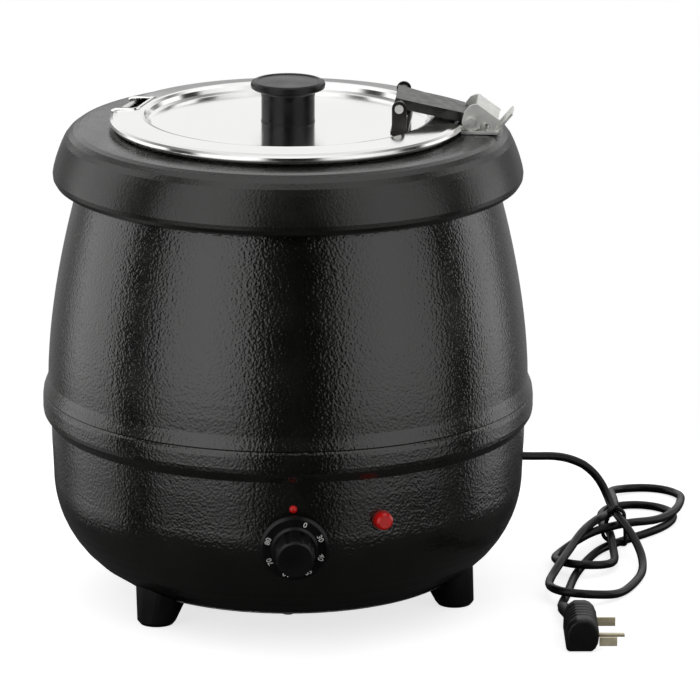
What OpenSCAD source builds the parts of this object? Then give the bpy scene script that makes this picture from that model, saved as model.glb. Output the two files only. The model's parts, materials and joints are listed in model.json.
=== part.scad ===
// Soup kettle: a round wet-well food warmer with a lift-out stainless pot,
// a collar ring, a hinged lid, a dial thermostat and a mains lead tied in a hank.
// Millimetres. The origin is on the kettle's axis at the surface it stands on,
// +Z is up, and the dial faces -Y.

/* [Body] */
// radius of the raised band, the widest part of the body
band_r = 170; // [140:1:200]
// height of the seam at the top of the band
band_z = 146.6; // [120:0.2:180]
// radius of the bottom curve of the lower shell
bottom_round = 76; // [60:1:90]
// height of the underside of the body above the table
floor_gap = 20; // [10:1:40]
// outside radius of the upper shell just above the band
sleeve_r = 166.3; // [150:0.1:180]
// height of the upper shell's top flange
sleeve_top = 300; // [260:1:330]
// inward lean of the upper shell at its top
sleeve_lean = 24.3; // [10:0.1:40]
// sheet thickness of the shells
sheet_t = 1.5; // [1:0.1:3]

/* [Collar] */
// widest radius of the collar
collar_r = 161.9; // [150:0.1:180]
// height of the collar's flat top
collar_top = 331.5; // [300:0.5:360]
// radius of the opening the pot drops through
collar_hole_r = 116.5; // [100:0.5:130]

/* [Pot and well] */
// inside radius of the pot
pot_r = 114.6; // [90:0.1:130]
// height of the pot's inside bottom
pot_floor = 120.8; // [100:0.2:160]
// inside radius of the water well
well_r = 122; // [110:0.5:140]
// height of the well's inside bottom
well_floor = 107; // [90:0.5:130]

/* [Lid] */
// radius of the lid
lid_r = 123; // [100:0.5:140]
// height of the lid's sunk centre panel
panel_z = 335; // [320:0.5:350]
// radius of the sunk centre panel
panel_r = 94; // [70:1:110]
// direction of the ladle notch, degrees from +X
notch_az = 163; // [90:1:250]
// radius of the lid knob's cap
knob_r = 25.6; // [15:0.1:35]

/* [Hinge] */
// direction of the lid hinge, degrees from +X
hinge_az = -4; // [-60:1:60]
// distance of the hinge pin from the kettle's axis
pin_x = 126.3; // [120:0.1:140]
// height of the hinge pin
pin_z = 340; // [335:0.5:350]
// distance from the hinge pin to the ears on the lid
arm_len = 49.8; // [40:0.1:60]
// slope of the lid arm, degrees
arm_slope = 13.9; // [5:0.1:20]

/* [Controls] */
// height of the dial's centre
dial_z = 80; // [60:1:100]
// radius of the dial's numbered skirt
dial_r = 23.3; // [15:0.1:30]
// downward tilt of the dial, square to the shell
dial_tilt = 6; // [0:1:15]
// direction of the indicator lamp, degrees right of the dial's side
lamp_az = 22.6; // [10:0.1:60]
// height of the indicator lamp
lamp_z = 95; // [80:1:115]

/* [Feet] */
// distance of each foot from the kettle's axis
foot_ring = 121.5; // [90:0.5:140]
// angle of the first foot left of the front
foot_turn = 48; // [0:1:119]

/* [Mains lead] */
// diameter of the lead
lead_d = 6; // [5:0.5:9]
// thickness of the tied hank lying on the table
hank_h = 24; // [12:1:40]
// radius of the hank's round ends
hank_r = 46; // [30:1:60]

/* [Hidden] */
$fn = 72;
e = 0.01;
// ear rivet, at the far end of the arm from the pin
ear_x = pin_x - arm_len * cos(arm_slope);
ear_z = pin_z + arm_len * sin(arm_slope);
// centre of the bottom curve
bc_r = 87;
bc_z = 87.5;
// mains lead: gland position, direction and height
gland_az = 30;
gland_z = 69;
// route of the free part of the lead, from the gland down to the hank
lead_route = [
    [158.5, 91.5, 69], [166, 95, 68], [174, 98.5, 66.5], [182, 103, 65.5],
    [191, 108.5, 64], [200, 114, 61], [208, 118, 57], [215, 121, 52.5],
    [222, 122.5, 47], [226.3, 121, 41.5], [229, 117.8, 35.6], [230.3, 113.8, 30], [230.8, 111, 26.1]];
// route from the hank's front end to the plug's strain relief
tail_route = [[188, -42, 6], [187, -50, 6], [187, -58, 6], [188, -67, 7], [190, -75, 8]];
// hank: centres of its two round ends
hank_a = [215, -5];
hank_b = [258, 192];
// plug block
plug_x = 188;
plug_y = -149;

// ---------- profiles ----------
// outside radius of the upper shell at height z
function sleeve(z) = sleeve_r - sleeve_lean * pow(max(0, z - band_z - 10) / (sleeve_top - band_z - 10), 1.7);
// outside radius of the bottom curve at height z, moved in by t
function bowl(z, t = 0) = bc_r + sqrt(pow(bottom_round - t, 2) - pow(min(0, z - bc_z), 2));

lower_out = concat(
    [for (i = [0:12]) let (z = floor_gap + (bc_z - floor_gap) * (1 - pow(1 - i / 12, 1.6))) [bowl(z), z]],
    [[164.1, 112], [164.4, 124.5], [165.2, 125.6], [168.2, 129.4], [169.5, 131.6], [band_r, 134.5],
     [band_r, 142.5], [169.7, 145.2], [168.8, band_z]]);
lower_in = concat(
    [for (i = [0:12]) let (z = floor_gap + sheet_t + (bc_z - floor_gap - sheet_t) * (1 - pow(1 - i / 12, 1.6))) [bowl(z, sheet_t), z]],
    [[162.6, 112], [162.9, 125.2], [166.6, 130.3], [168.4, 134.8], [168.4, 142.4], [168, band_z - sheet_t]]);
upper_out = concat(
    [[168.6, band_z], [169.4, band_z + 1.1], [168.6, band_z + 3.4], [167.2, band_z + 6.6]],
    [for (i = [0:14]) let (z = band_z + 10 + (sleeve_top - band_z - 10) * i / 14) [sleeve(z), z]]);
upper_in = concat(
    [[167.6, band_z + sheet_t], [166.9, band_z + 4], [165.4, band_z + 8]],
    [for (i = [0:14]) let (z = band_z + 11 + (sleeve_top - sheet_t - band_z - 11) * i / 14) [sleeve(z) - sheet_t, z]]);

function rev(p) = [for (i = [len(p) - 1:-1:0]) p[i]];

// a closed ring swept from an outline
module ring(p) { rotate_extrude($fn = 96) polygon(p); }

// hole grid helper: n things on a circle
module on_circle(n, r, a0 = 0) { for (i = [0:n - 1]) rotate([0, 0, a0 + i * 360 / n]) translate([r, 0, 0]) children(); }

// places a child on the front wall, +Z pointing outward
module dial_place() { rotate([0, 0, 1.5]) translate([0, -162.8, dial_z]) rotate([90 + dial_tilt, 0, 0]) children(); }
module lamp_place() { rotate([0, 0, lamp_az]) translate([0, -163.3, lamp_z]) rotate([90, 0, 0]) children(); }
module pip_place() { rotate([0, 0, 1.2]) translate([0, -163.9, 106]) rotate([90, 0, 0]) children(); }
module gland_place() { rotate([0, 0, gland_az]) translate([161, 0, gland_z]) rotate([0, 90, 0]) children(); }
module hinge_place() { rotate([0, 0, hinge_az]) children(); }
module pin_place() { hinge_place() translate([pin_x, 0, pin_z]) rotate([0, arm_slope, 0]) children(); }

// bar between two points, round section
module bar(a, b, r) {
    d = b - a;
    l = norm(d);
    translate(a) rotate([0, acos(d[2] / l), atan2(d[1], d[0])]) cylinder(h = l, r = r, $fn = 24);
}

// ---------- swept tube ----------
function cr(p, i, t) =
    let (n = len(p), a = p[max(i - 1, 0)], b = p[i], c = p[min(i + 1, n - 1)], d = p[min(i + 2, n - 1)])
    0.5 * ((2 * b) + (c - a) * t + (2 * a - 5 * b + 4 * c - d) * t * t + (3 * b - a - 3 * c + d) * t * t * t);
function unit(v) = v / norm(v);
module sweep(p, r, side, sides = 10, per = 1) {
    path = concat([for (i = [0:len(p) - 2]) for (k = [0:per - 1]) cr(p, i, k / per)], [p[len(p) - 1]]);
    m = len(path);
    pts = [for (i = [0:m - 1])
        let (t = unit(path[min(i + 1, m - 1)] - path[max(i - 1, 0)]),
             u = unit(cross(t, side)), v = cross(t, u))
        for (k = [0:sides - 1]) path[i] + r * cos(360 * k / sides) * u + r * sin(360 * k / sides) * v];
    faces = concat(
        [[for (k = [0:sides - 1]) k]],
        [[for (k = [sides - 1:-1:0]) (m - 1) * sides + k]],
        [for (i = [0:m - 2]) for (k = [0:sides - 1])
            [i * sides + k, (i + 1) * sides + k, (i + 1) * sides + (k + 1) % sides, i * sides + (k + 1) % sides]]);
    polyhedron(points = pts, faces = faces, convexity = 4);
}

// ---------- body ----------
module lower_shell() color([0.14, 0.14, 0.13]) difference() {
    ring(concat([[108, floor_gap], [108, floor_gap + sheet_t]], lower_in,
        [[160, band_z - sheet_t], [160, band_z]], rev(lower_out)));
    dial_place() cylinder(h = 20, r = 5.3, center = true);
    lamp_place() cylinder(h = 14, r = 5.2, center = true);
    pip_place() cylinder(h = 14, r = 1.6, center = true);
    gland_place() cylinder(h = 20, r = 6.2, center = true);
    on_circle(3, 112, 30) translate([0, 0, floor_gap - 1]) cylinder(h = 5, r = 2.1);
    for (i = [0:2]) rotate([0, 0, foot_angle(i)]) translate([foot_ring - 10, 0, floor_gap - 1]) cylinder(h = 5, r = 2.1);
}

module upper_shell() color([0.14, 0.14, 0.13])
    ring(concat([[160, band_z], [160, band_z + sheet_t]], upper_in,
        [[131, sleeve_top - sheet_t], [131, sleeve_top]], rev(upper_out)));

module base_plate() color([0.6, 0.6, 0.6]) difference() {
    translate([0, 0, floor_gap - 1.5]) cylinder(h = 1.5, r = 120);
    for (i = [0:2]) rotate([0, 0, foot_angle(i)]) translate([foot_ring - 10, 0, floor_gap - 3]) cylinder(h = 6, r = 2.6);
    on_circle(3, 112, 30) translate([0, 0, floor_gap - 3]) cylinder(h = 6, r = 2.1);
    // vent slots
    for (r = [30, 50, 70]) on_circle(12, r) translate([0, 0, floor_gap - 3]) cylinder(h = 6, r = 2.5);
}

// feet: 0 is left of the front, 1 right of it, 2 at the rear
function foot_angle(i) = -90 - foot_turn + 120 * i;

// body of revolution that fills the lower shell's outside, for trimming
module lower_solid(g) ring(concat([[0, floor_gap - 1.5 - g]], [[122.4, floor_gap - 1.5 - g]],
    [for (i = [0:10]) let (z = floor_gap - g + 3 * i) [bowl(z + g) + g, z]], [[0, floor_gap + 30 - g]]));

module foot(i) color([0.07, 0.07, 0.07]) rotate([0, 0, foot_angle(i)]) difference() {
    hull() {
        translate([foot_ring, 0, 0]) cylinder(h = 1, r = 11.5, $fn = 32);
        translate([foot_ring, 0, 2.5]) cylinder(h = 2, r = 13.5, $fn = 32);
        translate([foot_ring - 7.5, 0, 27]) cylinder(h = 1, r = 20, $fn = 32);
    }
    lower_solid(0.1);
    translate([foot_ring - 10, 0, 7]) cylinder(h = 20, r = 2.1, $fn = 24);
}
module foot_left() foot(0);
module foot_right() foot(1);
module foot_rear() foot(2);

module foot_screws() color([0.7, 0.7, 0.7]) for (i = [0:2]) rotate([0, 0, foot_angle(i)]) translate([foot_ring - 10, 0, 0]) {
    translate([0, 0, 9]) cylinder(h = floor_gap - 9 + 1.8, r = 2);
    translate([0, 0, floor_gap + 1.65]) cylinder(h = 2.4, r = 4.2);
}
module base_screws() color([0.7, 0.7, 0.7]) on_circle(3, 112, 30) {
    translate([0, 0, floor_gap - 3.6]) cylinder(h = 2, r = 3.8);
    translate([0, 0, floor_gap - 1.7]) cylinder(h = 7, r = 2);
}

// ---------- well and heater ----------
module water_well() color([0.75, 0.75, 0.76]) ring([
    [0, well_floor - 1.2], [well_r - 9, well_floor - 1.2], [well_r - 3, well_floor + 0.6],
    [well_r + 0.2, well_floor + 4.6], [well_r + 1.2, well_floor + 10], [well_r + 1.2, sleeve_top + 1],
    [141, sleeve_top + 1], [141, sleeve_top + 2.2], [well_r, sleeve_top + 2.2],
    [well_r, well_floor + 10.4], [well_r - 0.8, well_floor + 5.2], [well_r - 3.6, well_floor + 1.6],
    [well_r - 9, well_floor], [0, well_floor]]);

module well_gasket() color([0.8, 0.3, 0.2]) ring([[132, sleeve_top + 0.05], [140, sleeve_top + 0.05],
    [140, sleeve_top + 0.95], [132, sleeve_top + 0.95]]);

module heating_element() color([0.45, 0.42, 0.4]) {
    difference() {
        translate([0, 0, 101.6]) rotate_extrude($fn = 72) translate([75, 0]) circle(r = 4, $fn = 32);
        rotate([0, 0, 45]) translate([55, -9, 95]) cube([40, 18, 14]);
    }
    rotate([0, 0, 45]) for (s = [-1, 1]) translate([74, s * 13, 80]) cylinder(h = 20, r = 3, $fn = 32);
}
module element_clamp() color([0.7, 0.7, 0.68]) difference() {
    translate([0, 0, 95.9]) cylinder(h = 1.5, r = 88);
    translate([0, 0, 94]) cylinder(h = 5, r = 52);
    rotate([0, 0, 45]) translate([56, -17, 94]) cube([40, 34, 5]);
    on_circle(3, 60, 105) translate([0, 0, 94]) cylinder(h = 5, r = 2.7);
}
module clamp_nuts() color([0.7, 0.7, 0.7]) on_circle(3, 60, 105) {
    translate([0, 0, 88]) cylinder(h = 17.7, r = 2.5);
    translate([0, 0, 91.8]) difference() { cylinder(h = 4, r = 4.6, $fn = 6); translate([0, 0, -1]) cylinder(h = 6, r = 2.45); }
}
module thermal_cutout() color([0.85, 0.82, 0.75]) translate([10, -32, 0]) {
    translate([0, 0, 99.6]) cylinder(h = 6, r = 9);
    translate([0, 0, 94]) cylinder(h = 5.6, r = 7);
    for (s = [-1, 1]) translate([s * 4 - 0.4, -3, 88]) cube([0.8, 6, 6.5]);
}
module thermostat_bulb() color([0.7, 0.5, 0.3]) translate([-40, 22, 102.4]) rotate([0, 90, 0]) cylinder(h = 80, r = 3.2, $fn = 32);

// ---------- thermostat and dial ----------
module thermostat_body() color([0.85, 0.85, 0.8]) dial_place() difference() {
    union() {
        translate([-16, -14, -30]) cube([32, 28, 26]);
        translate([0, 0, -4.5]) cylinder(h = 7.1, r = 5);
        for (s = [-1, 1]) translate([s * 8 - 3, -20, -24]) cube([6, 6.5, 0.8]);
    }
    translate([0, 0, -22]) cylinder(h = 30, r = 3.05, $fn = 48);
}
module thermostat_nut() color([0.75, 0.75, 0.75]) dial_place() difference() {
    translate([0, 0, 0.2]) cylinder(h = 2.2, r = 8, $fn = 6);
    translate([0, 0, -1]) cylinder(h = 6, r = 5.05);
}
module capillary() color([0.75, 0.5, 0.3]) sweep([[-40.1, 22, 102.4], [-46, 20, 102], [-45, 12, 98], [-40, -14, 91], [-33, -70, 84],
    [-18, -110, 83], [-8, -124, 82], [-5, -129, 82]], 0.9, [0, 0, 1], 6, 2);

module dial() color([0.06, 0.06, 0.06]) dial_place() difference() {
    union() {
        translate([0, 0, 3]) cylinder(h = 1.6, r = dial_r);
        translate([0, 0, 4.6]) cylinder(h = 1.2, r1 = dial_r, r2 = dial_r - 1.8);
        translate([0, 0, 5.8]) cylinder(h = 1.4, r1 = 16, r2 = 14.4);
        translate([0, 0, 7.2]) cylinder(h = 16, r1 = 14, r2 = 13);
        translate([0, 0, 23.2]) cylinder(h = 1.4, r1 = 13, r2 = 11.4);
    }
    // finger scallops round the grip
    for (i = [0:8]) rotate([0, 0, i * 40 + 110]) translate([16.6, 0, 7.4]) cylinder(h = 20, r = 4.2, $fn = 24);
    // hollow under the skirt for the nut
    translate([0, 0, 2]) cylinder(h = 3, r = 19);
    // socket for the shaft
    translate([0, 0, 2]) cylinder(h = 14, r = 3.02, $fn = 48);
}
module dial_shaft() color([0.8, 0.8, 0.8]) dial_place() difference() {
    translate([0, 0, -20]) cylinder(h = 35.6, r = 3, $fn = 48);
    translate([-4, 1.8, 5]) cube([8, 3, 12]);
}

// ---------- lamp and index ----------
module index_pip() color([0.75, 0.05, 0.05]) pip_place() {
    translate([0, 0, -4]) cylinder(h = 4.4, r = 1.5, $fn = 32);
    intersection() {
        translate([0, 0, 0.2]) sphere(r = 2.75, $fn = 32);
        translate([-4, -4, 0.2]) cube([8, 8, 4]);
    }
}
module lamp_lens() color([0.7, 0.04, 0.04]) lamp_place() {
    translate([0, 0, 1.7]) cylinder(h = 4.4, r = 5.9);
    translate([0, 0, 6.1]) cylinder(h = 1.2, r1 = 5.9, r2 = 4.4);
}
module lamp_body() color([0.3, 0.05, 0.05]) lamp_place() {
    translate([0, 0, 0.3]) cylinder(h = 1.4, r = 6.8);
    translate([0, 0, -22]) cylinder(h = 22.4, r = 5);
    for (s = [-1, 1]) translate([s * 2.5 - 0.4, -2, -28]) cube([0.8, 4, 6.5]);
}
module lamp_nut() color([0.8, 0.8, 0.8]) lamp_place() difference() {
    translate([0, 0, -5.4]) cylinder(h = 2.6, r = 8, $fn = 6);
    translate([0, 0, -8]) cylinder(h = 8, r = 5.05);
}

// ---------- wiring ----------
module terminal_block() color([0.9, 0.9, 0.86]) translate([70, 35, floor_gap + 0.1]) rotate([0, 0, 30]) difference() {
    translate([-20, -10, 0]) cube([40, 20, 17]);
    for (x = [-13, 0, 13]) {
        translate([x, 0, 9]) rotate([90, 0, 0]) cylinder(h = 30, r = 2.4, center = true, $fn = 24);
        translate([x, 0, 12]) cylinder(h = 8, r = 2.2, $fn = 24);
    }
}
module earth_stud() color([0.8, 0.7, 0.3]) translate([96, 8, floor_gap + 0.1]) {
    cylinder(h = 14, r = 2);
    translate([0, 0, 0]) cylinder(h = 3, r = 4.2, $fn = 6);
    translate([0, 0, 6]) cylinder(h = 3, r = 4.2, $fn = 6);
}
module internal_wiring() color([0.5, 0.3, 0.1]) {
    sweep([[55.3, 34.5, 29.1], [51, 42, 29.1], [44, 50, 38], [42, 54, 48], [42, 58, 62], [43, 60.5, 77.5]], 1.5, [0, 1, 0.3], 6, 2);
    sweep([[62.2, 22.4, 29.1], [66.5, 15, 29.1], [56, 0, 34], [30, -50, 40], [10, -112, 48], [-2, -128, 56]], 1.5, [0.3, 0, 1], 6, 2);
    sweep([[77.8, 47.5, 29.1], [73.5, 55, 29.1], [84, 65, 33], [100, 68, 41], [115, 68, 51], [126, 71.5, 62]], 1.5, [0.3, -1, 0], 6, 2);
    sweep([[84.7, 35.5, 29.1], [89, 28, 29.1], [98, 0, 44], [96, -60, 60], [68, -110, 80], [57.5, -126, 93]], 1.5, [1, 0.3, 0], 6, 2);
}

// ---------- lead, gland and plug ----------
module cord_gland() color([0.06, 0.06, 0.06]) gland_place() difference() {
    union() {
        translate([0, 0, 2]) cylinder(h = 4, r = 9.5, $fn = 48);
        translate([0, 0, -10]) cylinder(h = 12.5, r = 6, $fn = 48);
        translate([0, 0, 6]) cylinder(h = 16, r1 = 7.4, r2 = 4.4, $fn = 48);
    }
    translate([0, 0, -12]) cylinder(h = 40, r = lead_d / 2 + 0.15, $fn = 32);
}
module gland_nut() color([0.1, 0.1, 0.1]) gland_place() difference() {
    translate([0, 0, -9.6]) cylinder(h = 4.2, r = 9.4, $fn = 6);
    translate([0, 0, -10]) cylinder(h = 12, r = 6.1, $fn = 48);
}
module power_cord() color([0.05, 0.05, 0.05]) sweep(lead_route, lead_d / 2, [0.5, -0.87, 0], 10, 2);
module cord_hank() color([0.05, 0.05, 0.05]) difference() {
    union() {
        translate([hank_a[0], hank_a[1], 0]) cylinder(h = hank_h, r = hank_r, $fn = 48);
        translate([hank_b[0], hank_b[1], 0]) cylinder(h = hank_h, r = hank_r, $fn = 48);
        translate([hank_a[0], hank_a[1], 0]) rotate([0, 0, atan2(hank_b[1] - hank_a[1], hank_b[0] - hank_a[0])])
            translate([0, -hank_r, 0]) cube([norm(hank_b - hank_a), 2 * hank_r, hank_h]);
    }
}
module cord_tie() color([0.05, 0.05, 0.05]) translate([237, 100, hank_h + 0.02]) rotate([0, 0, 14])
    translate([-16, -7, 0]) cube([32, 14, 1.6]);
module plug_cord() color([0.05, 0.05, 0.05]) sweep(tail_route, lead_d / 2, [1, 0, 0], 10, 2);
module plug_relief() color([0.06, 0.06, 0.06])
    bar([190, -75, 8], [194, -98.9, 9.4], 4.4);
module plug_body() color([0.06, 0.06, 0.06]) difference() {
    translate([plug_x, plug_y, 0]) {
        translate([0, 0, 0]) cube([23, 50, 21]);
        translate([2, 4, 21]) cube([16, 40, 2]);
    }
    translate([plug_x + 20, plug_y - 1, -1]) rotate([0, 0, -30]) cube([12, 10, 40]);
}
module plug_pins() color([0.8, 0.68, 0.35]) translate([plug_x + 23, 0, 0]) {
    translate([0.02, -110, 6.5]) cube([12.5, 1.6, 6]);
    translate([0.02, -128, 4.5]) cube([18, 4, 1.8]);
    translate([0.02, -145, 3.5]) cube([12, 1.6, 6]);
}

// ---------- collar ----------
module collar() color([0.12, 0.12, 0.12]) ring([
    // outside, from the lower lip up to the flat top
    [147.6, 291.2], [152, 291.3], [156.6, 292.2], [159.9, 294.1], [161.6, 297], [collar_r, 300],
    [161.2, 304], [159.8, 309], [158.1, 314], [156, 319.4], [154, 323.6], [151.2, 327.2],
    [147.6, 329.8], [143.6, 331.1], [139, collar_top], [collar_hole_r + 1.5, collar_top],
    [collar_hole_r, collar_top - 1.5],
    // inner lip, underside and locating skirt
    [collar_hole_r, 318], [collar_hole_r + 2.5, 318], [collar_hole_r + 2.5, 328.5], [133, 328.5],
    [133, sleeve_top + 2.5], [136, sleeve_top + 2.5], [136, 328.5], [142.6, 328.2], [146.2, 327],
    [149.4, 324.6], [151.4, 321.6], [153.2, 317.4], [155.2, 312.6], [156.8, 308], [158.2, 303.4],
    [158.8, 300], [158.6, 298], [157.2, 296], [154.8, 294.9], [151.6, 294.3], [147.6, 294.2]]);

// ---------- pot ----------
module inner_pot() color([0.78, 0.78, 0.79]) union() {
    ring([[0, pot_floor - 0.8], [pot_r - 14, pot_floor - 0.8], [pot_r - 6, pot_floor + 1], [pot_r - 1.2, pot_floor + 5.6],
        [pot_r + 0.8, pot_floor + 13], [pot_r + 0.8, 334.8], [pot_r, 334.8], [pot_r, pot_floor + 13.2],
        [pot_r - 1.9, pot_floor + 6.2], [pot_r - 6.4, pot_floor + 1.8], [pot_r - 14, pot_floor], [0, pot_floor]]);
    translate([0, 0, 334.85]) rotate_extrude($fn = 96) translate([118, 0]) circle(r = 3, $fn = 32);
}

// ---------- hinge ----------
module rim_clip() color([0.7, 0.7, 0.7]) hinge_place() difference() {
    union() {
        translate([112, -19, 332]) cube([33, 38, 1.6]);
        translate([144.4, 0, 332.1]) rotate([0, -50, 0]) translate([0, -12, 0]) cube([16, 24, 1.6]);
        // short hook that laps the pot's rolled rim
        translate([117, -12, 332]) cube([6.6, 24, 2.6]);
    }
    translate([0, 0, 320]) cylinder(h = 40, r = 121.1, $fn = 96);
    for (s = [-1, 1]) translate([138.5, s * 8, 325]) cylinder(h = 20, r = 1.7, $fn = 24);
}

// side plate of the yoke, drawn in the X-Z plane
module cheek() rotate([90, 0, 0]) linear_extrude(height = 2, center = true) difference() {
    union() {
        polygon([[-6.3, 1], [-4.6, 7], [-1.6, 10.8], [2, 12.4], [4.6, 12.2], [19, 1.8], [16, -6.2], [10.4, -6.2], [0, -3]]);
        circle(r = 6.3, $fn = 48);
    }
    circle(r = 2.05, $fn = 48);
    translate([9.4, -3.4]) circle(r = 3.4, $fn = 32);
}
module hinge_yoke() color([0.8, 0.8, 0.8]) hinge_place() translate([pin_x, 0, pin_z]) difference() {
    union() {
        for (s = [-1, 1]) translate([0, s * 15.6, 0]) cheek();
        // bridge over the top, sloping down outward
        translate([4.1, 0, 12.5]) rotate([0, 36, 0]) translate([0, -16.6, -1.6]) cube([18, 33.2, 1.6]);
        // foot plate between the cheeks
        translate([10.4, -16.6, -6.3]) cube([6.4, 33.2, 1.6]);
    }
    for (s = [-1, 1]) translate([12.2, s * 8, -12]) cylinder(h = 10, r = 1.7, $fn = 24);
}
module yoke_screws() color([0.75, 0.75, 0.75]) hinge_place() for (s = [-1, 1]) translate([138.5, s * 8, 0]) {
    translate([0, 0, 332]) cylinder(h = 4, r = 1.6, $fn = 24);
    translate([0, 0, 335.35]) cylinder(h = 1.6, r = 2.8, $fn = 24);
}
module hinge_pin() color([0.8, 0.8, 0.8]) hinge_place() translate([pin_x, 0, pin_z]) rotate([90, 0, 0]) {
    cylinder(h = 33.6, r = 2, center = true, $fn = 48);
    for (s = [-1, 1]) translate([0, 0, s * 17.5]) cylinder(h = 1.6, r = 3.1, center = true, $fn = 32);
}

// ---------- lid ----------
module lid_shell() color([0.85, 0.85, 0.85]) difference() {
    ring([[0, panel_z], [panel_r, panel_z], [panel_r + 2.2, panel_z + 1.2], [panel_r + 3.4, panel_z + 4],
                [panel_r + 5, panel_z + 5.4], [panel_r + 7, panel_z + 5.7], [117, panel_z + 4.3],
                [120.2, panel_z + 3.6], [122.2, panel_z + 2.5], [lid_r, panel_z + 1], [lid_r - 0.9, panel_z + 0.9],
                [lid_r - 1.6, panel_z + 2.1], [119.9, panel_z + 2.9], [116.9, panel_z + 3.5],
                [panel_r + 7, panel_z + 4.9], [panel_r + 5.4, panel_z + 4.6], [panel_r + 4.3, panel_z + 3.6],
                [panel_r + 3, panel_z + 0.6], [panel_r + 0.5, panel_z - 0.8], [0, panel_z - 0.8]]);
    // ladle notch
    rotate([0, 0, notch_az]) translate([101.6, -20.4, 325]) cube([40, 40.8, 30]);
    // hinge relief
    hinge_place() translate([112.5, -19, 325]) cube([40, 38, 30]);
    // hole for the knob screw
    translate([0, 0, 325]) cylinder(h = 20, r = 3.3, $fn = 32);
    // rivet holes
    hinge_place() for (s = [-1, 1]) translate([78, s * 12, 325]) cylinder(h = 20, r = 2.05, $fn = 24);
}
// rolled edge round the ladle notch
notch_path = [[121, 19, 337.9], [117.5, 19, 339.5], [113, 19, 339.8], [107, 19, 340], [104, 18, 340.3], [103, 15, 340.4], [103, 0, 340.4],
    [103, -15, 340.4], [104, -18, 340.3], [107, -19, 340], [113, -19, 339.8], [117.5, -19, 339.5], [121, -19, 337.9]];
module notch_trim() color([0.85, 0.85, 0.85]) rotate([0, 0, notch_az]) sweep(notch_path, 1.3, [0, 0, 1], 8, 2);
module lid_bracket() color([0.25, 0.25, 0.24]) hinge_place() difference() {
    union() {
        translate([72, -32.5, panel_z + 0.02]) cube([12, 65, 1.5]);
        for (s = [-1, 1]) translate([0, s * 31.5, 0]) {
            translate([73, -1, panel_z + 0.02]) cube([10, 2, 16.9]);
            translate([ear_x, 0, ear_z]) rotate([90, 0, 0]) cylinder(h = 2, r = 5, center = true, $fn = 48);
        }
    }
    translate([ear_x, 0, ear_z]) rotate([90, 0, 0]) cylinder(h = 80, r = 2.05, center = true, $fn = 48);
    for (s = [-1, 1]) translate([78, s * 12, 325]) cylinder(h = 20, r = 2.05, $fn = 24);
}
module bracket_rivets() color([0.7, 0.7, 0.7]) hinge_place() for (s = [-1, 1]) translate([78, s * 12, 0]) {
    translate([0, 0, panel_z - 1]) cylinder(h = 3, r = 2, $fn = 24);
    translate([0, 0, panel_z + 1.54]) cylinder(h = 1.3, r = 3.6, $fn = 24);
    translate([0, 0, panel_z - 2.1]) cylinder(h = 1.25, r = 3.6, $fn = 24);
}
module ear_rivet() color([0.8, 0.8, 0.8]) hinge_place() translate([ear_x, 0, ear_z]) rotate([90, 0, 0]) {
    cylinder(h = 66, r = 2, center = true, $fn = 48);
    for (s = [-1, 1]) translate([0, 0, s * 33.4]) cylinder(h = 1.5, r = 3, center = true, $fn = 32);
}
// strap from the yoke pin to the ears, tapered, with turned-down sides
arm_plan = [[3, 13], [-9, 13.4], [-36, 18.4], [-50, 20], [-54, 20], [-54, -20], [-50, -20], [-36, -18.4], [-9, -13.4], [3, -13]];
arm_inner = [[9, 11.4], [-9, 11.8], [-36, 16.8], [-50, 18.4], [-60, 18.4], [-60, -18.4], [-50, -18.4], [-36, -16.8], [-9, -11.8], [9, -11.4]];
module lid_arm() color([0.5, 0.5, 0.49]) pin_place() difference() {
    union() {
        difference() {
            translate([0, 0, -2.4]) linear_extrude(height = 6.6) polygon(arm_plan);
            translate([0, 0, -4]) linear_extrude(height = 6.6) polygon(arm_inner);
        }
        rotate([90, 0, 0]) cylinder(h = 28, r = 3.9, center = true, $fn = 48);
        translate([-arm_len, 0, 0]) rotate([90, 0, 0]) cylinder(h = 59, r = 3.6, center = true, $fn = 48);
    }
    rotate([90, 0, 0]) cylinder(h = 40, r = 2.06, center = true, $fn = 48);
    translate([-arm_len, 0, 0]) rotate([90, 0, 0]) cylinder(h = 80, r = 2.06, center = true, $fn = 48);
}

// ---------- lid knob ----------
module knob_stem() color([0.08, 0.08, 0.08]) difference() {
    ring([[0, panel_z + 0.02], [18.6, panel_z + 0.02], [18.3, panel_z + 2], [18.3, 352], [18.8, 355.4], [20.4, 357.6], [0, 357.6]]);
    translate([0, 0, panel_z - 1]) cylinder(h = 17, r = 3.02, $fn = 32);
}
module knob_cap() color([0.1, 0.1, 0.1]) ring([[0, 357.62], [20.6, 357.62], [24, 357.9], [25.3, 358.8], [knob_r, 360],
    [knob_r, 361.2], [25, 362.6], [23.4, 363.4], [21.6, 363.5], [20.6, 362.9], [20.2, 362.8], [0, 362.9]]);
module knob_screw() color([0.7, 0.7, 0.7]) {
    translate([0, 0, 331]) cylinder(h = 19, r = 3, $fn = 32);
    translate([0, 0, 329.4]) cylinder(h = 3.2, r = 5.6, $fn = 32);
}
module knob_washer() color([0.75, 0.75, 0.75]) difference() {
    translate([0, 0, 332.65]) cylinder(h = 1.5, r = 9);
    translate([0, 0, 331]) cylinder(h = 5, r = 3.1, $fn = 32);
}

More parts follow.
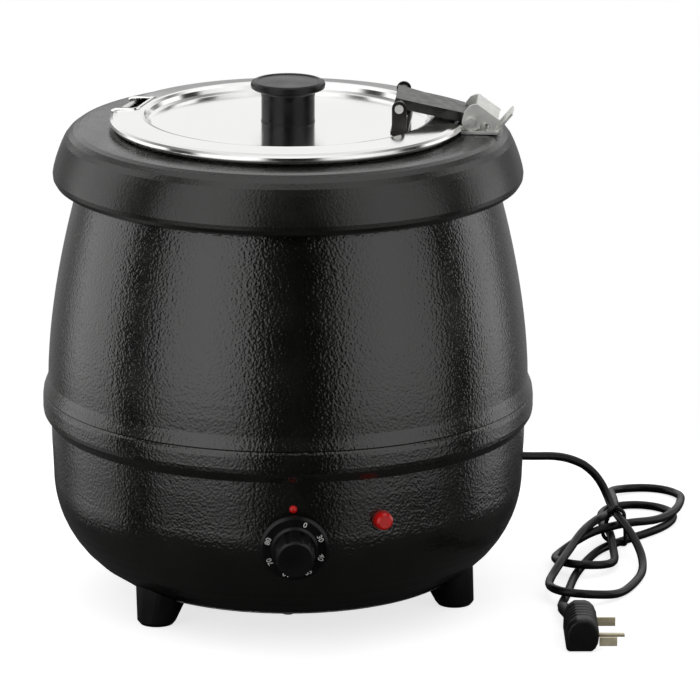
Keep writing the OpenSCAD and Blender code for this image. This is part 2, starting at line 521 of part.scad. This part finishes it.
lower_shell();
upper_shell();
base_plate();
foot_left();
foot_right();
foot_rear();
foot_screws();
base_screws();
water_well();
well_gasket();
heating_element();
element_clamp();
clamp_nuts();
thermal_cutout();
thermostat_body();
thermostat_nut();
thermostat_bulb();
capillary();
dial();
dial_shaft();
index_pip();
lamp_lens();
lamp_body();
lamp_nut();
terminal_block();
internal_wiring();
earth_stud();
cord_gland();
gland_nut();
power_cord();
cord_hank();
cord_tie();
plug_cord();
plug_relief();
plug_body();
plug_pins();
collar();
inner_pot();
rim_clip();
hinge_yoke();
yoke_screws();
hinge_pin();
lid_shell();
notch_trim();
lid_bracket();
bracket_rivets();
ear_rivet();
lid_arm();
knob_stem();
knob_cap();
knob_screw();
knob_washer();
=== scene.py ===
import bpy, bmesh, json, math
import numpy as np
from mathutils import Vector, Matrix


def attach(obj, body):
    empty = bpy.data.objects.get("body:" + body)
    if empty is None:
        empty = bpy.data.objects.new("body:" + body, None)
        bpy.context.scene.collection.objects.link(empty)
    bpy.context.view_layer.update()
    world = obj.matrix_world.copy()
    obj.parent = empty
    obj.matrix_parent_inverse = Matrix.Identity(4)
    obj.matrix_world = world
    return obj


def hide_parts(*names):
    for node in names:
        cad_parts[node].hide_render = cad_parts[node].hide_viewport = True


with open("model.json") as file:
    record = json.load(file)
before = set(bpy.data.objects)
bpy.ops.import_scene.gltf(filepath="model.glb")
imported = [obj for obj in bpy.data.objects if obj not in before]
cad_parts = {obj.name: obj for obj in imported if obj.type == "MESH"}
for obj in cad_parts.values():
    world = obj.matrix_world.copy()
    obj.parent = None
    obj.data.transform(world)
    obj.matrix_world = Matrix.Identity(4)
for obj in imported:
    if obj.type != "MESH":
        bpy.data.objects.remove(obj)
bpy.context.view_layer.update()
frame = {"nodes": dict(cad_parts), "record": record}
N = frame["nodes"]
scene = bpy.context.scene
try:
    scene.view_settings.view_transform = "Standard"
    scene.view_settings.look = "None"
except Exception:
    pass

# ---------------------------------------------------------------- camera
cam = bpy.data.cameras.new("camera")
cam.lens, cam.sensor_width = 307.4, 36.0
cam.clip_end = 50
cam.shift_x = 0.0885
cam_ob = bpy.data.objects.new("camera", cam)
scene.collection.objects.link(cam_ob)
cam_ob.location = (0, -4.0, 1.261)
cam_ob.rotation_euler = (math.radians(90 - 15.23), 0, 0)
scene.camera = cam_ob

# ---------------------------------------------------------------- mains lead
D = 0.006
# the free stretch from the strain relief down onto the hank
LEAD=[(.1585,.0915,.069),(.166,.095,.068),(.174,.0985,.0665),(.182,.103,.0655),(.191,.1085,.064),(.200,.114,.061),(.208,.118,.057),(.215,.121,.0525),(.222,.1225,.047),(.2263,.121,.0415),(.229,.1178,.0356),(.2303,.1138,.030),(.2308,.111,.0261),(.2318,.1055,.0215),(.2345,.098,.018)]
PLAN=[(.2385,.090),(.2430,.079),(.2480,.065),(.2510,.050),(.2505,.030),(.2460,.009),(.2380,-.013),
 (0.2295,-0.0304),(0.2164,-0.0429),(0.2017,-0.0478),(0.1886,-0.0429),(0.1815,-0.0293),(0.1832,-0.0097),(.1900,.008),(.1965,.030),(.2045,.055),(.2140,.080),
 (.2240,.103),(.2320,.128),(.2370,.155),(.2380,.183),(0.2363,0.2076),(0.2395,0.2207),(0.2491,0.2306),(0.2625,0.2344),(0.2759,0.2306),(0.2855,0.2207),(0.2889,0.2076),
 (.2870,.190),(.2850,.170),(.2790,.150),(.2690,.133),(.2560,.118),(.2420,.104),(.2260,.091),
 (.2080,.0780),(0.1931,0.0647),(0.1882,0.0462),(0.1929,0.0298),(0.2051,0.0217),(0.2193,0.0233),(0.2291,0.0336),(0.2320,0.0484),(.2310,.066),(.2312,.088),
 (.2300,.112),(.2272,.135),(.2270,.155),(0.2278,0.1705),(0.2357,0.1839),(0.2477,0.1905),(0.2614,0.1896),(0.2735,0.1820),(0.2803,0.1695),(.2800,.155),(.2745,.140),(.2650,.126),
 (.2520,.112),(.2380,.098),(.2235,.081),(.2140,.058),(.2065,.034),(.2005,.010),(.1965,-.015),(.1922,-.040),(.1887,-.057),(.1885,-.067),(.1905,-.078)]
def cr(P,step=.002):
    P=np.array(P,float); Q=np.vstack([2*P[0]-P[1],P,2*P[-1]-P[-2]]); out=[]
    for i in range(1,len(Q)-2):
        p0,p1,p2,p3=Q[i-1:i+3]; n=max(2,int(np.linalg.norm(p2-p1)/step))
        for k in range(n):
            t=k/n; out.append(.5*((2*p1)+(-p0+p2)*t+(2*p0-5*p1+4*p2-p3)*t*t+(-p0+3*p1-3*p2+p3)*t**3))
    out.append(Q[-2]); return np.array(out)
def resample(P,step):
    s=np.r_[0,np.cumsum(np.linalg.norm(np.diff(P,axis=0),axis=1))]; n=int(round(s[-1]/step)); t=np.linspace(0,s[-1],n+1)
    return np.stack([np.interp(t,s,P[:,k]) for k in range(P.shape[1])],1)
def smooth(P,n,fix=1):
    P=P.copy()
    for _ in range(n):
        P[fix:-fix]=.5*P[fix:-fix]+.25*(P[fix-1:-fix-1]+P[fix+1:len(P)-fix+1])
    return P
LW,NP,XS,ZS=18,30,8,12
def laid(W=9):
    st=.003
    m=len(LEAD)
    full=resample(cr(LEAD+[(x,y,.0155) for x,y in PLAN]),st)
    n=len(full); d=D*1.04
    lead=cr(LEAD,.001); s=np.arange(n)*st
    sl=np.linalg.norm(np.diff(lead,axis=0),axis=1).sum(); nl=int(sl/st)
    k=np.clip((np.arange(n)-(nl-6))/10,0,1)[:,None]; k=k*k*(3-2*k)
    xy=(1-k)*smooth(full[:,:2],XS,2)+k*smooth(full[:,:2],16,2)
    base=np.full(n,D/2)
    for i in range(n):
        y=xy[i,1]
        if (n-1-i)*st<.05: base[i]=.003+.0052*min(1,max(0,(-.045-y)/.033))**1.5
    z=base.copy(); w=1-np.abs(np.arange(-W,W+1))/(W+1); w/=w.sum()
    for it in range(40):
        lo=base.copy()
        for i in range(n-1,nl-6,-1):
            js=np.arange(i+8,n)
            if len(js)==0: continue
            h=np.linalg.norm(xy[js]-xy[i],axis=1); mm=h<d
            if mm.any(): lo[i]=max(lo[i],(z[js[mm]]+np.sqrt(d*d-h[mm]**2)).max())
        pad=np.pad(lo,W,mode='edge'); dil=np.array([pad[k:k+2*W+1].max() for k in range(n)])
        dil[-14:]=lo[-14:]
        p2=np.pad(dil,W,mode='edge'); z2=np.array([(p2[k:k+2*W+1]*w).sum() for k in range(n)])
        z2[-6:]=base[-6:]
        if np.abs(z2-z).max()<1e-6: z=z2; break
        z=z2
    # the lead comes down onto the hank
    zl=full[:,2].copy(); k0=nl-4; k1=nl+26
    zz=z.copy()
    zz[:k0]=zl[:k0]
    a=zl[k0]; 
    for k in range(k0,k1):
        t=(k-k0)/(k1-k0); e=t*t*(3-2*t); zz[k]=max(z[k],a*(1-e)+z[k1]*e)
    q=zz.copy()
    for _ in range(ZS): q[2:-2]=.5*q[2:-2]+.25*(q[1:-3]+q[3:-1])
    P=np.column_stack([xy,q])
    a,b=nl-LW,nl+14
    t=np.linspace(0,np.pi,b-a); wt=(.5*np.sin(t)**.6)[:,None]
    for _ in range(NP):
        P[a:b]+=wt*(.5*(P[a-1:b-1]+P[a+1:b+1])-P[a:b])
    return P,s
pts, _ = laid()
pts = resample(pts, 0.003)


def curve_piece(name, points, radius, cyclic=False, res=4):
    cu = bpy.data.curves.new(name, "CURVE")
    cu.dimensions = "3D"
    cu.bevel_depth = radius
    cu.bevel_resolution = res
    cu.use_fill_caps = True
    sp = cu.splines.new("POLY")
    sp.points.add(len(points) - 1)
    for i, p in enumerate(points):
        sp.points[i].co = (float(p[0]), float(p[1]), float(p[2]), 1)
    sp.use_cyclic_u = cyclic
    ob = bpy.data.objects.new(name, cu)
    scene.collection.objects.link(ob)
    return ob


lead = curve_piece("mains_lead", pts, D / 2)

# wire tie round the bundle, with its two ends twisted together
ti = int(np.argmin(np.linalg.norm(pts[:, :2] - np.array([0.2365, 0.097]), axis=1)))
near = pts[(np.abs((pts[:, :2] - np.array([0.236, 0.097])) @ np.array([0.285, 0.958])) < 0.003)
           & (np.linalg.norm(pts[:, :2] - np.array([0.236, 0.097]), axis=1) < 0.013)]
ax = np.array([0.958, -0.285])
u = (near[:, :2] - np.array([0.236, 0.097])) @ ax
disc = []
for q_, p_ in zip(u, near):
    for k in range(40):
        a = 2 * math.pi * k / 40
        disc.append((float(q_) + 0.0045 * math.cos(a), max(0.0016, float(p_[2]) + 0.0045 * math.sin(a))))
disc = sorted(set(disc))


def half(seq):
    out = []
    for p_ in seq:
        while len(out) > 1 and ((out[-1][0] - out[-2][0]) * (p_[1] - out[-2][1])
                                - (out[-1][1] - out[-2][1]) * (p_[0] - out[-2][0])) <= 0:
            out.pop()
        out.append(p_)
    return out[:-1]


outline = np.array(half(disc) + half(disc[::-1]))
step = np.r_[0, np.cumsum(np.linalg.norm(np.diff(np.vstack([outline, outline[:1]]), axis=0), axis=1))]
loop = np.vstack([outline, outline[:1]])
at = np.linspace(0, step[-1], 64, endpoint=False)
ring = [(0.236 + ax[0] * float(np.interp(t, step, loop[:, 0])), 0.097 + ax[1] * float(np.interp(t, step, loop[:, 0])),
         float(np.interp(t, step, loop[:, 1]))) for t in at]
tie = curve_piece("lead_tie", ring, 0.0014, cyclic=True)
top = Vector(max(ring, key=lambda p_: p_[2]))
tw = []
for s_ in (1, -1):
    tw.append([(top.x + 0.0011 * s_ * math.cos(k * 0.9) - 0.0004 * k, top.y - 0.00075 * k,
                top.z + 0.0011 * s_ * math.sin(k * 0.9) + 0.0010) for k in range(16)])
tails = [curve_piece("lead_tie_end_%d" % i, t, 0.0007) for i, t in enumerate(tw)]


# ---------------------------------------------------------------- materials
def mat(name, base, rough=0.4, metal=0.0, var=0.12, scale=60.0, bump=0.15, bump_mm=0.05, rough_var=0.08,
        coat=0.0, coat_rough=0.05, stretch=(1, 1, 1), hammer=None, spec=None, fine=None):
    m = bpy.data.materials.new(name)
    m.use_nodes = True
    nt = m.node_tree
    b = nt.nodes["Principled BSDF"]
    L = nt.links.new
    b.inputs["Metallic"].default_value = metal
    b.inputs["Coat Weight"].default_value = coat
    b.inputs["Coat Roughness"].default_value = coat_rough
    if spec is not None:
        b.inputs["Specular IOR Level"].default_value = spec
    tc = nt.nodes.new("ShaderNodeTexCoord")
    mp = nt.nodes.new("ShaderNodeMapping")
    mp.inputs["Scale"].default_value = stretch
    L(tc.outputs["Object"], mp.inputs["Vector"])
    n = nt.nodes.new("ShaderNodeTexNoise")
    n.inputs["Scale"].default_value = scale
    n.inputs["Detail"].default_value = 4
    L(mp.outputs["Vector"], n.inputs["Vector"])
    cr_ = nt.nodes.new("ShaderNodeValToRGB")
    lo = [max(0, c * (1 - var)) for c in base]
    hi = [min(1, c * (1 + var)) for c in base]
    cr_.color_ramp.elements[0].position, cr_.color_ramp.elements[1].position = 0.3, 0.7
    cr_.color_ramp.elements[0].color, cr_.color_ramp.elements[1].color = (*lo, 1), (*hi, 1)
    L(n.outputs["Fac"], cr_.inputs["Fac"])
    L(cr_.outputs["Color"], b.inputs["Base Color"])
    mr = nt.nodes.new("ShaderNodeMapRange")
    mr.inputs["From Min"].default_value, mr.inputs["From Max"].default_value = 0.3, 0.7
    mr.inputs["To Min"].default_value = max(0.02, rough - rough_var)
    mr.inputs["To Max"].default_value = min(1, rough + rough_var)
    L(n.outputs["Fac"], mr.inputs["Value"])
    L(mr.outputs["Result"], b.inputs["Roughness"])
    bp = nt.nodes.new("ShaderNodeBump")
    bp.inputs["Strength"].default_value = bump
    bp.inputs["Distance"].default_value = bump_mm / 1000
    src = n.outputs["Fac"]
    if fine:
        f = nt.nodes.new("ShaderNodeTexNoise")
        f.inputs["Scale"].default_value = fine
        f.inputs["Detail"].default_value = 2
        L(mp.outputs["Vector"], f.inputs["Vector"])
        src = f.outputs["Fac"]
    if hammer:
        v = nt.nodes.new("ShaderNodeTexVoronoi")
        v.feature = "SMOOTH_F1"
        v.inputs["Scale"].default_value = hammer
        v.inputs["Smoothness"].default_value = 0.6
        L(mp.outputs["Vector"], v.inputs["Vector"])
        f = nt.nodes.new("ShaderNodeTexNoise")
        f.inputs["Scale"].default_value = hammer * 1.1
        f.inputs["Detail"].default_value = 1
        L(mp.outputs["Vector"], f.inputs["Vector"])
        ad = nt.nodes.new("ShaderNodeMath")
        ad.operation = "MULTIPLY_ADD"
        L(v.outputs["Distance"], ad.inputs[0])
        ad.inputs[1].default_value = -0.7
        L(f.outputs["Fac"], ad.inputs[2])
        src = ad.outputs[0]
    L(src, bp.inputs["Height"])
    L(bp.outputs["Normal"], b.inputs["Normal"])
    if coat:
        L(bp.outputs["Normal"], b.inputs["Coat Normal"])
    return m


M = {
    "hammered_black": mat("hammered_black", (0.007, 0.007, 0.006), 0.20, 0, 0.25, 40, 1.0, 0.21, 0.05, 0.6, 0.07, hammer=500),
    "collar_black": mat("collar_black", (0.007, 0.007, 0.006), 0.27, 0, 0.25, 40, 1.0, 0.16, 0.05, 0.2, 0.16, fine=560),
    "polished_steel": mat("polished_steel", (0.90, 0.90, 0.89), 0.13, 1, 0.03, 14, 0.08, 0.05, 0.04, fine=30),
    "pot_steel": mat("pot_steel", (0.72, 0.72, 0.71), 0.24, 1, 0.06, 30, 0.25, 0.03, 0.06, stretch=(1, 1, 14)),
    "plated_steel": mat("plated_steel", (0.82, 0.82, 0.79), 0.22, 1, 0.10, 120, 0.2, 0.03, 0.09),
    "arm_steel": mat("arm_steel", (0.12, 0.12, 0.11), 0.36, 1, 0.14, 160, 0.3, 0.03, 0.10),
    "bracket_dark": mat("bracket_dark", (0.055, 0.053, 0.050), 0.35, 1, 0.2, 160, 0.3, 0.03, 0.10),
    "black_plastic": mat("black_plastic", (0.006, 0.006, 0.006), 0.30, 0, 0.2, 50, 0.35, 0.03, 0.06, spec=0.28, fine=1500),
    "foot_plastic": mat("foot_plastic", (0.006, 0.006, 0.006), 0.42, 0, 0.25, 70, 0.5, 0.04, 0.08, spec=0.3, fine=1300),
    "lead_black": mat("lead_black", (0.006, 0.006, 0.006), 0.34, 0, 0.25, 90, 0.3, 0.03, 0.07, spec=0.3, fine=700),
    "brass": mat("brass", (0.86, 0.78, 0.56), 0.50, 0.55, 0.08, 150, 0.2, 0.02, 0.08),
    "red_lens": mat("red_lens", (0.60, 0.006, 0.006), 0.22, 0, 0.2, 260, 0.5, 0.08, 0.05, 0.3, 0.08, spec=0.3, fine=900),
    "lamp_red": mat("lamp_red", (0.22, 0.015, 0.012), 0.4, 0, 0.15, 200, 0.2, 0.03, 0.06),
    "gasket_red": mat("gasket_red", (0.5, 0.11, 0.05), 0.6, 0, 0.15, 100, 0.3, 0.05),
    "element_sheath": mat("element_sheath", (0.30, 0.27, 0.24), 0.4, 1, 0.3, 80, 0.3, 0.04),
    "copper": mat("copper", (0.72, 0.42, 0.26), 0.3, 1, 0.12, 140, 0.2, 0.03),
    "white_plastic": mat("white_plastic", (0.72, 0.70, 0.63), 0.5, 0, 0.05, 80, 0.3, 0.03),
    "wire_brown": mat("wire_brown", (0.22, 0.09, 0.03), 0.45, 0, 0.12, 200, 0.2, 0.02),
}
ink = mat("dial_ink", (0.78, 0.78, 0.75), 0.5, 0, 0.08, 800, 0.2, 0.01)
# lighter, rougher copy of the plated steel: painted highlight that makes the hinge yoke, pin, rim clip and ear rivet
# read as catching the light
M["plated_steel_painted_highlight"] = mat("plated_steel_painted_highlight", (0.90, 0.90, 0.87), 0.52, 0.85, 0.06, 120, 0.25, 0.03, 0.08)
for sub in frame["record"]["subparts"]:
    ob = N[sub["node"]]
    ob.data.materials.clear()
    # hinge yoke, pin, rim clip and ear rivet take the painted-highlight steel instead of their own slot
    ob.data.materials.append(M["plated_steel_painted_highlight" if sub["node"] in ("hinge_yoke", "hinge_pin", "rim_clip", "ear_rivet") else sub["material_slot"]])
    ob.data.shade_smooth()
    ob.data.set_sharp_from_angle(angle=math.radians(26))


def bevel(node, w, seg=3):
    m = N[node].modifiers.new("soft_edge", "BEVEL")
    m.width, m.segments, m.limit_method, m.angle_limit = w, seg, "ANGLE", math.radians(38)
    m.harden_normals = False


for n_, w_ in (("lid_bracket", 0.00035), ("rim_clip", 0.0004), ("dial", 0.0004),
               ("plug_pins", 0.0003)):
    bevel(n_, w_)

for ob in [lead]:
    ob.data.materials.append(M["lead_black"])
for ob in [tie] + tails:
    ob.data.materials.append(M["foot_plastic"])
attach(lead, "base")
for ob in [tie] + tails:
    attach(ob, "base")
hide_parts("power_cord", "cord_hank", "plug_cord")
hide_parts("cord_tie")

# moulded plug: rounded on the pin side, chamfered along the top, with finger grooves
prof = [(0.1900, 0.0), (0.2060, 0.0), (0.2086, 0.0022), (0.2103, 0.0060), (0.2109, 0.0105), (0.2105, 0.0150),
        (0.2088, 0.0190), (0.2062, 0.0217), (0.2030, 0.0229), (0.1955, 0.0229), (0.1908, 0.0196), (0.1884, 0.0140),
        (0.1881, 0.0040), (0.1886, 0.0010)]
pc = np.array([0.1995, 0.0112])
secs = [(-0.1489, 0.86), (-0.1482, 0.93), (-0.1466, 0.975), (-0.1440, 1.0)]
y_ = -0.1380
for k in range(5):
    secs += [(y_, 1.0), (y_ + 0.0010, 0.972), (y_ + 0.0026, 0.972), (y_ + 0.0036, 1.0)]
    y_ += 0.0058
secs += [(-0.1040, 1.0), (-0.1015, 0.97), (-0.0998, 0.90), (-0.0991, 0.78)]
vs, fs, n_ = [], [], len(prof)
for y, k in secs:
    for x, z in prof:
        v = pc + (np.array([x, z]) - pc) * np.array([k, k])
        vs.append((float(v[0]), y, float(max(0.0, v[1]))))
for a in range(len(secs) - 1):
    for b in range(n_):
        c = (b + 1) % n_
        fs.append((a * n_ + b, a * n_ + c, (a + 1) * n_ + c, (a + 1) * n_ + b))
fs.append(tuple(range(n_ - 1, -1, -1)))
fs.append(tuple((len(secs) - 1) * n_ + b for b in range(n_)))
pm = bpy.data.meshes.new("plug_moulding")
pm.from_pydata(vs, [], fs)
pm.validate()
bm_ = bmesh.new()
bm_.from_mesh(pm)
bmesh.ops.recalc_face_normals(bm_, faces=bm_.faces)
bm_.to_mesh(pm)
bm_.free()
pm.shade_smooth()
pm.set_sharp_from_angle(angle=math.radians(42))
plug = bpy.data.objects.new("plug_moulding", pm)
scene.collection.objects.link(plug)
bv = plug.modifiers.new("soft_edge", "BEVEL")
bv.width, bv.segments, bv.limit_method, bv.angle_limit = 0.0007, 3, "ANGLE", math.radians(34)
plug.data.materials.append(M["foot_plastic"])
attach(plug, "base")
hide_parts("plug_body")

# ---------------------------------------------------------------- dial marks
DM = (Matrix.Rotation(math.radians(1.5), 4, "Z") @ Matrix.Translation((0, -0.1628, 0.080))
      @ Matrix.Rotation(math.radians(96), 4, "X"))


def dial_text(body, ang, size, rad, i):
    cu = bpy.data.curves.new("dial_mark_%d" % i, "FONT")
    cu.body = body
    cu.size = size
    cu.align_x = "CENTER"
    cu.align_y = "CENTER"
    cu.extrude = 0.00005
    cu.offset = 0.00005
    ob = bpy.data.objects.new("dial_mark_%d" % i, cu)
    scene.collection.objects.link(ob)
    a = math.radians(ang)
    ob.matrix_world = (DM @ Matrix.Rotation(-a, 4, "Z") @ Matrix.Translation((0, rad, 0.00586)))
    cu.materials.append(ink)
    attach(ob, "dial")
    return ob


for i, (t, a) in enumerate((("0", 22), ("30", 66), ("40", 109), ("50", 151.5), ("60", 196.7), ("70", 241.5), ("80", 288))):
    dial_text(t, a, 0.0052, 0.0187, i)

# ---------------------------------------------------------------- stage and light
fm = bpy.data.materials.new("floor_white")
fm.use_nodes = True
fb = fm.node_tree.nodes["Principled BSDF"]
fb.inputs["Base Color"].default_value = (0.60, 0.60, 0.60, 1)
fb.inputs["Roughness"].default_value = 0.9
fb.inputs["Emission Color"].default_value = (1, 1, 1, 1)
fb.inputs["Emission Strength"].default_value = 0.74
fdim = fm.node_tree.nodes.new("ShaderNodeBsdfDiffuse")
fdim.inputs["Color"].default_value = (0.08, 0.08, 0.08, 1)
fmix = fm.node_tree.nodes.new("ShaderNodeMixShader")
flp = fm.node_tree.nodes.new("ShaderNodeLightPath")
fout = fm.node_tree.nodes["Material Output"]
fm.node_tree.links.new(flp.outputs["Is Camera Ray"], fmix.inputs[0])
fm.node_tree.links.new(fdim.outputs[0], fmix.inputs[1])
fm.node_tree.links.new(fb.outputs[0], fmix.inputs[2])
fm.node_tree.links.new(fmix.outputs[0], fout.inputs["Surface"])
me = bpy.data.meshes.new("floor")
me.from_pydata([(-0.27, -0.30, 0), (0.37, -0.30, 0), (0.37, 0.36, 0), (-0.27, 0.36, 0)], [], [(0, 1, 2, 3)])
floor = bpy.data.objects.new("floor", me)
scene.collection.objects.link(floor)
me.materials.append(fm)

w = bpy.data.worlds.new("studio")
scene.world = w
w.use_nodes = True
nt = w.node_tree
nt.nodes.clear()
L = nt.links.new
out = nt.nodes.new("ShaderNodeOutputWorld")
bg = nt.nodes.new("ShaderNodeBackground")
bg_cam = nt.nodes.new("ShaderNodeBackground")
bg_cam.inputs["Color"].default_value = (1, 1, 1, 1)
bg_cam.inputs["Strength"].default_value = 1.0
mixs = nt.nodes.new("ShaderNodeMixShader")
lp = nt.nodes.new("ShaderNodeLightPath")
L(lp.outputs["Is Camera Ray"], mixs.inputs[0])
L(bg.outputs[0], mixs.inputs[1])
L(bg_cam.outputs[0], mixs.inputs[2])
L(mixs.outputs[0], out.inputs["Surface"])
tc = nt.nodes.new("ShaderNodeTexCoord")
sx = nt.nodes.new("ShaderNodeSeparateXYZ")
L(tc.outputs["Generated"], sx.inputs[0])


def math_node(op, a, b=None):
    n = nt.nodes.new("ShaderNodeMath")
    n.operation = op
    for k, v in enumerate((a, b)):
        if v is None:
            continue
        if isinstance(v, (int, float)):
            n.inputs[k].default_value = v
        else:
            L(v, n.inputs[k])
    return n.outputs[0]


neg = math_node("MULTIPLY", sx.outputs["Y"], -1.0)
az = math_node("ARCTAN2", sx.outputs["X"], neg)
t = math_node("ADD", math_node("DIVIDE", az, 2 * math.pi), 0.5)
ramp = nt.nodes.new("ShaderNodeValToRGB")
L(t, ramp.inputs[0])
# softboxes round the kettle, by direction from the front in degrees
stops = [(-180, 0.25), (-136, 0.15), (-124, 0.85), (-92, 0.95), (-87, 0.03), (-71, 0.03), (-64, 0.85), (-40, 1.05), (-21, 0.85),
         (-14, 0.0), (21, 0.0), (29, 0.62), (50, 0.80), (78, 0.62), (84, 0.02), (99, 0.02), (104, 0.90), (124, 0.85), (134, 0.15), (180, 0.25)]
el = ramp.color_ramp.elements
while len(el) > 1:
    el.remove(el[-1])
el[0].position = 0.0
el[0].color = (stops[0][1],) * 3 + (1,)
for a, v in stops[1:]:
    e_ = el.new((a + 180) / 360)
    e_.color = (v, v, v, 1)
ringv = nt.nodes.new("ShaderNodeSeparateColor")
L(ramp.outputs["Color"], ringv.inputs[0])
ring_s = math_node("MULTIPLY", ringv.outputs[0], 1.7)


def ramp_z(a, b, lo, hi):
    n = nt.nodes.new("ShaderNodeMapRange")
    n.interpolation_type = "SMOOTHSTEP"
    L(sx.outputs["Z"], n.inputs["Value"])
    n.inputs["From Min"].default_value, n.inputs["From Max"].default_value = a, b
    n.inputs["To Min"].default_value, n.inputs["To Max"].default_value = lo, hi
    return n.outputs[0]


back = nt.nodes.new("ShaderNodeMapRange")
back.interpolation_type = "SMOOTHSTEP"
L(sx.outputs["Y"], back.inputs["Value"])
back.inputs["From Min"].default_value, back.inputs["From Max"].default_value = 0.5, 0.88
wall = math_node("MULTIPLY", back.outputs[0], ramp_z(0.06, 0.2, 0.0, 1.22))
topv = ramp_z(0.72, 0.95, 0.0, 1.3)
ring_s = math_node("MULTIPLY", ring_s, ramp_z(-0.45, -0.08, 0.25, 1.0))
tot = math_node("MAXIMUM", math_node("MAXIMUM", ring_s, wall), topv)
L(tot, bg.inputs["Strength"])
